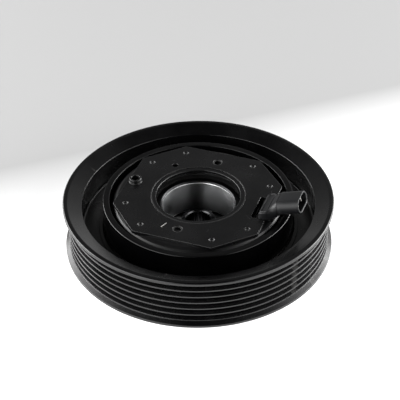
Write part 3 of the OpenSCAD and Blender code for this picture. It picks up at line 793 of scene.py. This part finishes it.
def ball_tracks(low, high, land):
    """Grooves for the two rows of balls: downwards in the outer ring and upwards in the inner one."""
    outer = land > TRACK_MID_R
    half = acos(abs(land - TRACK_MID_R) / TRACK_R)
    facing = 0 if outer else pi
    points = []
    for side in (1, -1) if outer else (-1, 1):
        middle = (low + high) / 2 + side * TRACK_DZ
        points += arc((TRACK_MID_R, middle), TRACK_R, facing + half, facing - half, 14)
    return points


def make_inner_ring(steel_finish):
    """Inner ring with its bore, chamfers and two ball tracks."""
    land = INNER_HIGH.x
    low = INNER_LOW.z
    high = INNER_HIGH.z
    foot = high - BORE_CHAMFER
    bore = rounded([(land, high, 0.3), (BORE_R + BORE_CHAMFER, high, 0.2), (BORE_R + 0.14, foot + 0.14, 0.05),
                    (BORE_R, foot - 0.2, 0.1), (BORE_R, low, 0.6), (land, low, 0.3)])
    shell = turned(bore + ball_tracks(low, high, land))
    piece("inner_ring_ground", "field", [shell], steel_finish, "bearing_inner_ring")


def make_outer_ring(steel_finish):
    """Outer ring with its ball tracks and the steps that take the seals."""
    outer = OUTER_HIGH.x
    low = OUTER_LOW.z
    high = OUTER_HIGH.z
    seat = span("front_seal")[1].x
    shape = rounded([(seat, low + SEAL_DEPTH, 0), (seat, low, 0.15), (outer, low, 0.6), (outer, high, 0.6),
                     (seat, high, 0.15), (seat, high - SEAL_DEPTH, 0)])
    shape.append(Vector((OUTER_LAND_R, high - SEAL_DEPTH)))
    shape += ball_tracks(low, high, OUTER_LAND_R)
    shape.append(Vector((OUTER_LAND_R, low + SEAL_DEPTH)))
    piece("outer_ring_ground", "pulley", [turned(shape)], steel_finish, "bearing_outer_ring")


def make_seal(cad_node, outward, rubber):
    """Rubber seal with a bead at its rim, a shallow channel and a lip on the inner ring."""
    low, high = span(cad_node)
    inner = INNER_HIGH.x + 0.3
    outer = high.x
    face = high.z if outward > 0 else low.z
    back = low.z if outward > 0 else high.z
    channel = face - outward * 0.3
    lip = face - outward * 0.2
    corners = [(inner, back, 0.1), (outer, back, 0.1), (outer, face, 0.25), (outer - 0.9, face, 0.2),
               (outer - 1.2, channel, 0.2), (inner + 1.3, channel, 0.2), (inner + 0.9, face, 0.2),
               (inner, lip, 0.2)]
    shell = turned(rounded(corners, 3), MIDDLE_ROUND)
    piece(cad_node + "_moulded", "pulley", [shell], rubber, cad_node)


def plate_outline():
    """Eight-sided outline of the mounting plate, with the notch for the connector."""
    flat = PLATE_HIGH.y
    short = FLAT_DIAGONAL * sqrt(2) - flat
    half = NOTCH_W / 2
    around = [(flat, short), (short, flat), (-short, flat), (-flat, short),
              (-flat, -short), (-short, -flat), (short, -flat), (flat, -short)]
    return rounded([(flat, half, 0.7)] + [(x, y, 1.2) for x, y in around]
                   + [(flat, -half, 0.7), (NOTCH_X, -half, 1.1), (NOTCH_X, half, 1.1)])


def make_plate(paint):
    """Stamped plate with its coined pilot ring and countersunk holes."""
    low = PLATE_LOW.z
    high = PLATE_HIGH.z
    bush_x = (BUSH_LOW.x + BUSH_HIGH.x) / 2
    coined = high - COINED_DEPTH
    lap = 0.04
    fixings = [(0, -FIXING_Y), (0, FIXING_Y)]
    loops = [plate_outline(), hole(COINED_R, count=MIDDLE_ROUND),
             hole(GAUGE_R, polar(*GAUGE_AT)),
             hole(BUSH_HIGH.x - bush_x, (bush_x, 0))]
    loops += [hole(SINK_R, at) for at in fixings]
    loops += [hole(RIVET_R, at, TINY_ROUND) for at in rivet_places()]
    lapped = COINED_R + lap
    pilot = rounded([(PILOT_R, low, 0.15), (lapped, low + 0.15, 0), (lapped, high - 0.05, 0.1),
                     (COINED_R - COINED_STEP, coined, 0.4), (PILOT_R, coined, 0.35)], 6)
    sink = rounded([(FIXING_R, low, 0.1), (SINK_R + lap, low + 0.1, 0), (SINK_R + lap, high - PLATE_EDGE, 0),
                    (FIXING_R, high - SINK_DEPTH, 0.1)])
    ridge = [Vector((COINED_R + out, high + rise)) for out, rise in
             ((-0.22, -0.05), (0.26, -0.05), (0.22, 0.0), (0.1, 0.06), (-0.02, 0.07), (-0.14, 0.04))]
    shells = [slab(loops, low, high, PLATE_EDGE), turned(pilot, MIDDLE_ROUND)]
    shells += [turned(sink, SMALL_ROUND, at) for at in fixings]
    shells.append(turned(ridge, MIDDLE_ROUND))
    piece("plate_stamped", "field", shells, paint, "mounting_plate")


def rivet_places():
    """Centres of the eight rivets of the plate."""
    return [polar(RIVET_CIRCLE_R, radians(a)) for a in RIVET_ANGLES]


def make_plate_rivets(paint):
    """Flush rivets, each with a shallow pressed ring."""
    low, high = span("plate_rivets")
    top = high.z - 0.01
    ring = top - RIVET_RING_DEPTH
    rim = RIVET_R + 0.17
    inner = RIVET_RING_R - RIVET_RING_HALF
    outline = [(RIVET_R, low.z), (RIVET_R, top - 0.3), (rim, top - 0.12), (rim, top),
               (RIVET_RING_R + RIVET_RING_HALF, top), (RIVET_RING_R + 0.03, ring),
               (RIVET_RING_R - 0.03, ring), (inner, top - 0.02), (inner - 0.12, top - 0.02),
               (0.1, top - 0.22)]
    points = [Vector(p) for p in outline]
    shells = [turned(points, TINY_ROUND, at, closed=False) for at in rivet_places()]
    piece("plate_rivets_pressed", "field", shells, paint, "plate_rivets")


def make_bush(paint):
    """Hollow bush with a rounded mouth and a shoulder let into the plate."""
    low = BUSH_LOW.z
    high = BUSH_HIGH.z
    foot_r = (BUSH_HIGH.x - BUSH_LOW.x) / 2
    bed = PLATE_HIGH.z - 0.3
    step = PLATE_HIGH.z + 0.5
    outline = rounded([(BUSH_HOLE_R, low, 0.1), (BUSH_R, low, 0.1), (BUSH_R, bed, 0), (foot_r, bed, 0),
                       (foot_r, step, 0.2), (BUSH_R, step, 0.15), (BUSH_R, high, 0.35),
                       (BUSH_HOLE_R, high, 0.35)])
    shell = turned(outline, SMALL_ROUND, ((BUSH_LOW.x + BUSH_HIGH.x) / 2, 0))
    piece("locating_bush_turned", "field", [shell], paint, "locating_bush")


def cross_section(half_w, low, high, radius_low, radius_high, steps=5):
    """Rounded box across Y and along the section's own height."""
    return rounded([(-half_w, low, radius_low), (half_w, low, radius_low), (half_w, high, radius_high),
                    (-half_w, high, radius_high)], steps)


def stand(section, x, z, lean):
    """A section placed upright at x and z and leant back."""
    return [Vector((x - p.y * sin(lean), p.x, z + p.y * cos(lean))) for p in section]


def make_elbow(plastic):
    """Moulded elbow: a block with a slanted, framed top that narrows and turns up to the barrel."""
    half = ELBOW_W / 2
    tube = BARREL_W / 2
    up = BARREL_H / 2
    left = ELBOW_LOW.x
    base = PLATE_LOW.z
    seam = Vector((SEAM_X - left, SEAM_Z - base))
    rise = Vector((-up * sin(TILT), up * cos(TILT)))
    # Foot (x, z), top (x, z), half-width and the radii of the lower and upper corners
    rows = [((0.05, 1.6), (0.05, 4.0), half - 1.0, 0.5, 0.4),
            ((0.25, 0.7), (0.25, 4.5), half - 0.45, 1.2, 0.6),
            ((0.7, 0.15), (0.7, 4.9), half, 2.0, 0.6),
            ((2.0, 0.02), (2.0, 5.33), half, 2.2, 0.6),
            ((3.6, 0.0), (3.4, 5.8), half - 0.05, 2.3, 0.7),
            ((4.8, 0.0), (4.3, 6.35), half - 0.4, 2.5, 1.3),
            ((6.1, 0.1), (5.2, 7.05), half - 0.95, 2.9, 2.1),
            ((7.3, 0.45), (6.0, 8.0), tube + 0.2, 3.2, 2.9),
            ((8.4, 1.25), (6.8, 9.1), tube + 0.03, 3.5, 3.4)]
    last_foot, last_top = (Vector(p) for p in rows[-1][:2])
    rows += [((seam - rise).lerp(last_foot, 0.03), (seam + rise).lerp(last_top, 0.03), tube, up, up),
             (seam - rise, seam + rise, tube, up, up)]
    sections = [leaning(Vector(foot), Vector(top), *sizes, left, base) for foot, top, *sizes in rows]
    sections.append(shrunk(sections[-1], 1 - SEAM_GROOVE / up))
    stem = [[Vector((left + 4.5 + p.y, p.x, z)) for p in cross_section(3.7, -2.3, 2.3, 0.4, 0.4)]
            for z in (base - 2.0, base + 0.5)]
    shells = [loft(sections), loft(stem), panel_frame(left, base)]
    piece("elbow_moulded", "field", shells, plastic, "connector_elbow")


def leaning(foot, top, half_w, radius_low, radius_high, left, base):
    """Rounded box section from its foot to its top, both (x, z) from the elbow's lower corner."""
    height = (top - foot).length
    limit = height / 2 - 0.01
    section = cross_section(half_w, 0, height, min(radius_low, limit), min(radius_high, limit))
    lean = atan2(foot.x - top.x, top.y - foot.y)
    return stand(section, left + foot.x, base + foot.y, lean)


def shrunk(section, scale):
    """A section drawn in towards its middle."""
    middle = sum(section, Vector()) / len(section)
    return [middle + (p - middle) * scale for p in section]


def panel_frame(left, base):
    """Raised border around the slanted top of the elbow."""
    side = ELBOW_W / 2 - 0.85
    corners = [(1.0, -side, 0.8), (4.1, -side + 0.25, 1.0), (4.1, side - 0.25, 1.0), (1.0, side, 0.8)]
    points = []
    for p in rounded(corners, 6):
        rise = 4.9 + (p.x - 0.7) / 3 + max(p.x - 3.4, 0) * 0.27
        points.append(Vector((left + p.x, p.y, base + rise)))
    return ring_bead(points, PANEL_BEAD_R)


def ring_bead(points, radius, count=10):
    """A bead of round section along a closed path."""
    verts = []
    n = len(points)
    turns = [tau * k / count for k in range(count)]
    for i, here in enumerate(points):
        along = (points[(i + 1) % n] - points[i - 1]).normalized()
        side = along.cross(Vector((0, 0, 1))).normalized()
        up = side.cross(along)
        verts += [tuple(here + (side * cos(t) + up * sin(t)) * radius) for t in turns]
    faces = [(i * count + k, i * count + (k + 1) % count, (i + 1) % n * count + (k + 1) % count,
              (i + 1) % n * count + k) for i in range(n) for k in range(count)]
    return verts, faces


def make_barrel(plastic):
    """Oval socket with a thin rounded mouth, open to its floor."""
    half = BARREL_W / 2
    up = BARREL_H / 2
    depth = BARREL_LEN - SOCKET_DEPTH

    def oval(shrink, along):
        high = up - shrink
        shape = cross_section(half - shrink, -high, high, high - 0.01, high - 0.01, 8)
        return stand(shape, SEAM_X + along * cos(TILT), SEAM_Z + along * sin(TILT), TILT)

    outer = 0.35
    inner = 0.56
    turns = [k / 5 * pi / 2 for k in range(6)]
    sections = [oval(SEAM_GROOVE, 0.0), oval(SEAM_GROOVE, 0.12), oval(0.08, 0.32), oval(0.0, 0.5),
                oval(0.0, BARREL_LEN * 0.5), oval(0.0, BARREL_LEN - outer)]
    sections += [oval(outer * (1 - cos(t)), BARREL_LEN - outer * (1 - sin(t))) for t in turns[1:]]
    sections += [oval(SOCKET_WALL - inner * (1 - sin(t)), BARREL_LEN - inner * (1 - cos(t)))
                 for t in turns]
    sections += [oval(SOCKET_WALL, BARREL_LEN - 1.6), oval(SOCKET_WALL, depth + 0.3),
                 oval(SOCKET_WALL + 0.25, depth)]
    piece("barrel_moulded", "field", [loft(sections)], plastic, "connector_barrel")


def make_terminals(tin):
    """Two blades with bevelled sides and a tapered tip."""
    length = BARREL_LEN - PIN_RECESS
    # Place along the blade, and how much of its height and thickness is left there
    stations = [(-PIN_TAIL, 1.0, 1.0), (length - 0.9, 1.0, 1.0),
                (length - 0.3, 0.94, 0.8), (length, 0.85, 0.5)]
    shells = []
    for side in (-1, 1):
        sections = []
        for along, tall, thick in stations:
            shape = cross_section(PIN_T / 2 * thick, -PIN_H / 2 * tall, PIN_H / 2 * tall, 0.12, 0.12, 2)
            blade = stand(shape, SEAM_X + along * cos(TILT), SEAM_Z + along * sin(TILT), TILT)
            sections.append([p + Vector((0, side * PIN_Y, 0)) for p in blade])
        shells.append(loft(sections))
    piece("terminals_bevelled", "field", shells, tin, "terminal_pins")


def flange_outline():
    """Hub flange: a disc with a scallop between each two arms."""
    radius = max(FLANGE_HIGH.x, FLANGE_HIGH.y)
    half = acos((radius ** 2 + SCALLOP_AT ** 2 - SCALLOP_R ** 2) / (2 * radius * SCALLOP_AT))
    points = []
    reach = asin(radius * sin(half) / SCALLOP_R)
    for k in range(ARMS):
        scallop = ARM_FIRST + pi / ARMS + k * tau / ARMS
        back = scallop + pi
        points += arc(polar(SCALLOP_AT, scallop), SCALLOP_R, back + reach, back - reach, 24)[1:-1]
        points += arc((0, 0), radius, scallop + half + 0.02, scallop + tau / ARMS - half - 0.02, 30)
    return points


def make_hub_flange(paint):
    """Stamped flange with its puller holes and rivet holes, around the boss."""
    loops = [flange_outline(), hole(BOSS_R)]
    for radius, at, turn in ((PULLER_R, PULLER_AT, pi / ARMS), (SHANK_R, HUB_RIVET_AT, 0)):
        loops += [hole(radius, polar(at, a + turn), TINY_ROUND) for a in ARM_ANGLES]
    shell = slab(loops, FLANGE_LOW.z, FLANGE_HIGH.z, STAMPED_EDGE)
    piece("hub_flange_stamped", "hub", [shell], paint, "hub_flange")


def make_armature(iron):
    """Armature with its three flux slots and rivet holes."""
    loops = [arc((0, 0), ARMATURE_HIGH.x, 0, tau, ROUND)[:-1], hole(ARMATURE_INNER_R, count=MIDDLE_ROUND)]
    half = FLUX_SLOT_W / 2
    for a in ARM_ANGLES:
        rivet = a + LEAF_SWEEP
        first = rivet + pi / ARMS - FLUX_SLOT_SPAN / 2
        last = first + FLUX_SLOT_SPAN
        slot = arc((0, 0), ARM_RIVET_AT + half, last, first, 40)
        slot += arc(polar(ARM_RIVET_AT, first), half, first, first - pi, 10)[1:-1]
        slot += arc((0, 0), ARM_RIVET_AT - half, first, last, 40)
        slot += arc(polar(ARM_RIVET_AT, last), half, last + pi, last, 10)[1:-1]
        loops.append(slot)
        loops.append(hole(SHANK_R, polar(ARM_RIVET_AT, rivet), TINY_ROUND))
    shell = slab(loops, ARMATURE_LOW.z, ARMATURE_HIGH.z, STAMPED_EDGE)
    piece("armature_turned", "armature", [shell], iron, "armature_plate")


def make_leaf(index, angle, steel_finish):
    """One leaf spring, a flat strip from its hub rivet to its armature rivet."""
    near = polar(HUB_RIVET_AT, angle)
    far = polar(ARM_RIVET_AT, angle + LEAF_SWEEP)
    run = far - near
    half = LEAF_W / 2
    low = LEAF_LOW.z
    high = LEAF_HIGH.z
    edge = 0.08
    turns = [k / 12 * pi / 2 for k in range(13)]
    stations = [-half * cos(t) for t in turns[:-1]]
    stations += [run.length * k / 24 for k in range(25)]
    stations += [run.length + half * sin(t) for t in turns[1:]]
    place_it = Matrix.Translation((near.x, near.y, 0)) @ Matrix.Rotation(atan2(run.y, run.x), 4, "Z")
    sections = []
    for x in stations:
        out = max(0.0, -x, x - run.length)
        w = max(0.12, sqrt(max(0.0, half ** 2 - out ** 2)))
        shape = [(-w, low + edge), (-w + edge, low), (w - edge, low), (w, low + edge),
                 (w, high - edge), (w - edge, high), (-w + edge, high), (-w, high - edge)]
        sections.append([place_it @ Vector((x, y, z)) for y, z in shape])
    leaf = piece("leaf_spring_%d" % index, None, [loft(sections)], steel_finish, "leaf_springs")
    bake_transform(leaf)


def rivet_shell(at, low, leaf, top):
    """Rivet with a domed head in front and a spread tail behind."""
    outline = [(0.25, low), (1.4, low + 0.03), (2.2, low + 0.12), (2.75, low + 0.27), (3.05, low + 0.45),
               (HEAD_R, low + 0.7), (HEAD_R, leaf), (SHANK_R, leaf), (SHANK_R, top - 0.2),
               (SHANK_R - 0.2, top), (0.9, top), (0.7, top - 0.18), (0.2, top - 0.18)]
    return turned([Vector(p) for p in outline], SMALL_ROUND, at, closed=False)


def make_rivets(body, radius, turn, finish):
    """The rivets that hold the leaf springs on one body."""
    cad_node = body + "_rivets"
    low, high = span(cad_node)
    shells = [rivet_shell(polar(radius, a + turn), low.z, LEAF_LOW.z, high.z) for a in ARM_ANGLES]
    piece(cad_node + "_domed", body, shells, finish, cad_node)


# ---------- Materials on the CAD nodes that stay ----------

def dress(finish, *names):
    """Gives CAD nodes a material."""
    for name in names:
        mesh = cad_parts[name].data
        mesh.materials.clear()
        mesh.materials.append(finish)


# ---------- Stage, light and camera ----------

CAMERA_AZIMUTH = radians(20.4)
CAMERA_ELEVATION = radians(36.92)
CAMERA_ROLL = radians(-0.76)
CAMERA_DISTANCE = 0.63744            # metres, as are the sizes of the floor
CAMERA_LENS = 117
CAMERA_SHIFT = (0.0044, -0.0093)
AIM_DROP = 0.6                       # below the top of the rim, in millimetres
FLOOR_HALF = 3.0
FLOOR_GAP = 0.00005                  # keeps the floor just below the clutch
PAPER_TURN = 0.34                    # the paper turns grey this far to the left of straight behind the clutch
PAPER_GREY = (0.012, 0.095)          # where that starts and ends, from the clutch's axis
GAP_TURN = radians(6)           # middle of the dark gap between the softboxes, from the camera's azimuth
GAP_HALF = (radians(24), radians(48))
# Brightness of the surround: as a whole, from its left to its right, and from the horizon to overhead
SURROUND = 1.5
SURROUND_ACROSS = [(0.0, 0.9), (0.25, 0.6), (0.36, 0.36), (0.55, 0.5), (0.75, 1.0), (1.0, 1.1)]
SURROUND_UP = [(0.0, 1.0), (0.22, 0.84), (0.38, 0.36), (0.60, 0.22), (0.78, 0.08), (0.95, 0.02)]


def towards(azimuth, elevation=0.0):
    """Unit vector from the clutch; azimuth is measured from the camera's, to the right."""
    a = CAMERA_AZIMUTH + azimuth
    return Vector((sin(a) * cos(elevation), -cos(a) * cos(elevation), sin(elevation)))


def make_floor():
    """Flat pale paper that turns grey behind the clutch and can't be seen from below."""
    half = FLOOR_HALF
    mesh = bpy.data.meshes.new("floor")
    corners = [(-half, -half, 0), (half, -half, 0), (half, half, 0), (-half, half, 0)]
    mesh.from_pydata(corners, [], [(0, 1, 2, 3)])
    floor = placed("floor", mesh)
    floor.location.z = cad_box[0].z - FLOOR_GAP
    material, tree, shader = new_material("floor_paper", Roughness=0.6, Emission_Strength=0.8)
    depth = vectors(tree, "DOT_PRODUCT", place(tree), -towards(PAPER_TURN))
    glow = mix(tree, spread(tree, depth, 1.0, 0.06, *PAPER_GREY), (0.0, 0.0, 0.0), (1.0, 1.0, 1.0))
    tree.links.new(glow, shader.inputs["Emission Color"])
    colour = mix(tree, noise(tree, 3.0), (0.86, 0.86, 0.86), (0.90, 0.90, 0.90))
    colour = mix(tree, spread(tree, depth, 0.0, 1.0, *PAPER_GREY), colour, (0.42, 0.42, 0.42))
    connect(tree, shader, colour, None, bump(tree, noise(tree, 600.0), 0.02))
    output = next(n for n in tree.nodes if n.type == "OUTPUT_MATERIAL")
    back = node(tree, "NewGeometry", {}, "Backfacing")
    clear = node(tree, "BsdfTransparent", {})
    surface = node(tree, "MixShader", {0: back, 1: shader.outputs["BSDF"], 2: clear})
    tree.links.new(surface, output.inputs["Surface"])
    mesh.materials.append(material)


def grey_ramp(tree, value, stops):
    """Grey between stops (position, brightness)."""
    colour = node(tree, "ValToRGB", {"Fac": value})
    elements = colour.node.color_ramp.elements
    elements[0].position = stops[0][0]
    elements[1].position = stops[-1][0]
    for position, _ in stops[1:-1]:
        elements.new(position)
    for element, (_, grey) in zip(elements, stops):
        element.color = (grey, grey, grey, 1.0)
    return colour


def make_world():
    """Soft surround: bright near the horizon and dark overhead, with a dark gap on the camera's side."""
    world = bpy.data.worlds.new("studio")
    bpy.context.scene.world = world
    world.use_nodes = True
    tree = world.node_tree
    tree.nodes.clear()
    output = tree.nodes.new("ShaderNodeOutputWorld")
    direction = node(tree, "TexCoord", {}, "Generated")
    level = vectors(tree, "NORMALIZE", flattened(tree, direction))
    ahead = vectors(tree, "DOT_PRODUCT", level, towards(GAP_TURN))
    gap = spread(tree, ahead, 1.0, 0.06, cos(GAP_HALF[1]), cos(GAP_HALF[0]))
    side = vectors(tree, "DOT_PRODUCT", level, towards(pi / 2))
    across = grey_ramp(tree, times(tree, maths(tree, "ADD", side, 1.0), 0.5), SURROUND_ACROSS)
    strength = times(tree, times(tree, gap, across), SURROUND)
    colour = grey_ramp(tree, height_of(tree, direction), SURROUND_UP)
    light = node(tree, "Background", {"Color": colour, "Strength": strength})
    tree.links.new(light, output.inputs["Surface"])


def softbox(name, azimuth, elevation, distance, width, height, radiance):
    """Rectangular light that faces the clutch."""
    data = bpy.data.lights.new(name, "AREA")
    data.shape = "RECTANGLE"
    data.size = width
    data.size_y = height
    data.energy = radiance * width * height * pi
    light = placed(name, data)
    back = towards(radians(azimuth), radians(elevation))
    light.location = back * distance
    light.rotation_mode = "QUATERNION"
    light.rotation_quaternion = back.to_track_quat("Z", "Y")


def make_lights():
    softbox("softbox_left", -66, 26, 1.4, 2.4, 1.15, 3.9)
    softbox("softbox_right", 78, 26, 1.4, 2.4, 1.15, 2.5)
    softbox("softbox_rear_left", -112, 16, 1.2, 1.1, 0.6, 7.5)
    softbox("softbox_rear_right", 108, 12, 1.2, 1.0, 0.6, 10.5)


def plain_tones():
    """Ordinary camera tones, so that the paper can burn out to white."""
    bpy.context.scene.view_settings.view_transform = "Standard"


def make_camera():
    """Camera at the photograph's angle, with the roll and shift that frame the clutch the same way."""
    data = bpy.data.cameras.new("camera")
    data.sensor_width = 36
    data.lens = CAMERA_LENS
    data.shift_x, data.shift_y = CAMERA_SHIFT
    data.clip_start = 0.01
    camera = placed("camera", data)
    back = towards(0, CAMERA_ELEVATION)
    camera.location = Vector((0, 0, (RIM_HIGH.z - AIM_DROP) * MM)) + back * CAMERA_DISTANCE
    camera.rotation_mode = "QUATERNION"
    roll = Matrix.Rotation(CAMERA_ROLL, 4, "Z").to_quaternion()
    camera.rotation_quaternion = back.to_track_quat("Z", "Y") @ roll
    bpy.context.scene.camera = camera


def build():
    pulley = pulley_paint()
    rotor = rotor_paint()
    coil = coil_paint()
    plate = plate_paint()
    hub = hub_paint()
    ground = bearing_steel()
    plastic = connector_plastic()
    rivets = rivet_steel()
    leaf = leaf_steel()
    rubber = seal_rubber()
    make_pulley(pulley)
    make_rotor_wall(rotor)
    make_bearing_seat(rotor)
    make_inner_ring(ground)
    make_outer_ring(ground)
    make_seal("rear_seal", 1, rubber)
    make_seal("front_seal", -1, rubber)
    make_plate(plate)
    make_plate_rivets(plate)
    make_bush(plate)
    make_elbow(plastic)
    make_barrel(plastic)
    make_terminals(tinned_terminal())
    make_hub_flange(hub)
    make_armature(armature_steel())
    for index, angle in enumerate(ARM_ANGLES):
        make_leaf(index + 1, angle, leaf)
    make_rivets("hub", HUB_RIVET_AT, 0, rivets)
    make_rivets("armature", ARM_RIVET_AT, LEAF_SWEEP, rivets)
    dress(coil, "coil_shell")
    dress(rotor, "rotor_disc")
    dress(hub_steel(), "hub_sleeve")
    dress(spring_steel_black(), "bearing_snap_ring")
    dress(ball_steel(), "bearing_balls")
    dress(cage_plastic(), "front_cage", "rear_cage")
    dress(bobbin_plastic(), "coil_bobbin")
    dress(copper_wire(), "coil_winding")
    dress(resin(), "potting_resin")
    dress(lead_insulation(), "coil_leads")
    dress(friction_lining(), "friction_ring")


build()
make_floor()
make_world()
make_lights()
plain_tones()
make_camera()
